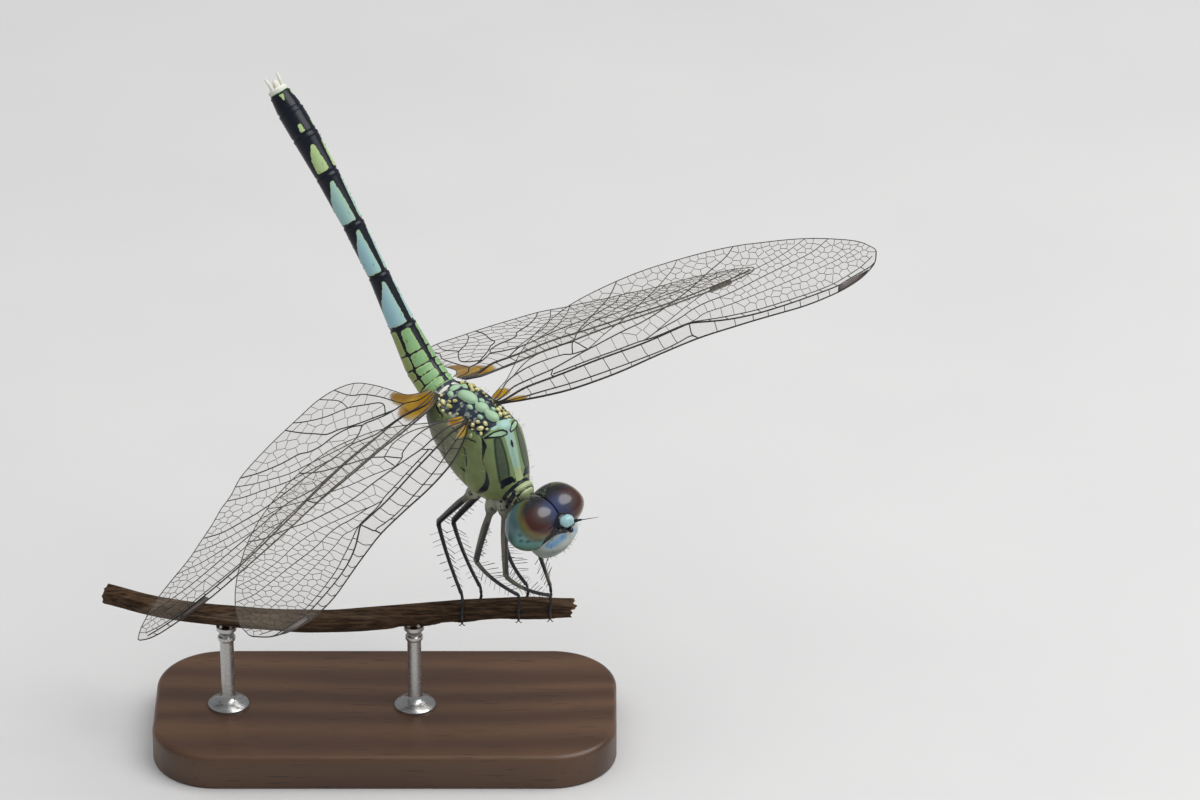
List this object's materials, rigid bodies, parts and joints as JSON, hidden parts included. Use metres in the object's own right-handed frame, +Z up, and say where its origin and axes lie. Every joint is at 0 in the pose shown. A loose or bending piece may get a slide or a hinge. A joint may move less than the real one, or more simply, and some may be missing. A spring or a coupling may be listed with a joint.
{
  "type": "dragonfly model on a twig and display stand",
  "caption": "Life-size still model of a male ground-skimmer dragonfly, head down with raised tail and spread wings, gripping a broken twig held by a plain display stand.",
  "frame": {"origin": "middle of the underside of the stand's base", "axes": "+Z up, +X along the twig towards its broken end, which is the side the insect's head is on, and +Y away from the side that the head turns to"},
  "size_m": [0.047, 0.0417, 0.04],
  "materials": {
    "face": "pale sky-blue face with a dark band between the eyes",
    "eye": "glossy, maroon-brown above and blue-green below",
    "leg_black": "black cuticle, slight sheen",
    "cream": "cream cuticle",
    "thorax_green": "olive to pale green cuticle with black streaks",
    "abdomen_green": "pale green wedges on black",
    "shell_black": "black cuticle with small pale spots",
    "wing_membrane": "clear membrane with black-brown veins",
    "bark": "dark weathered bark",
    "walnut": "satin oiled walnut",
    "steel": "brushed"
  },
  "bodies": {
    "root": {"head": "face", "eye_left": "eye", "eye_right": "eye", "antenna_left": "leg_black", "antenna_right": "leg_black", "prothorax": "cream", "thorax": "thorax_green", "abdomen_01": "abdomen_green", "abdomen_02": "abdomen_green", "abdomen_03": "abdomen_green", "abdomen_04": "abdomen_green", "abdomen_05": "abdomen_green", "abdomen_06": "abdomen_green", "abdomen_07": "abdomen_green", "abdomen_08": "shell_black", "abdomen_09": "shell_black", "abdomen_10": "shell_black", "cercus_left": "cream", "cercus_right": "cream", "forewing_left": "wing_membrane", "forewing_right": "wing_membrane", "hindwing_left": "wing_membrane", "hindwing_right": "wing_membrane", "femur_front_left": "leg_black", "femur_front_right": "leg_black", "femur_mid_left": "leg_black", "femur_mid_right": "leg_black", "femur_hind_left": "leg_black", "femur_hind_right": "leg_black", "tibia_front_left": "leg_black", "tibia_front_right": "leg_black", "tibia_mid_left": "leg_black", "tibia_mid_right": "leg_black", "tibia_hind_left": "leg_black", "tibia_hind_right": "leg_black", "tarsus_front_left": "leg_black", "tarsus_front_right": "leg_black", "tarsus_mid_left": "leg_black", "tarsus_mid_right": "leg_black", "tarsus_hind_left": "leg_black", "tarsus_hind_right": "leg_black", "perch_twig": "bark", "stand_base": "walnut", "stand_rod_left": "steel", "stand_rod_right": "steel"}
  },
  "joints": []
}
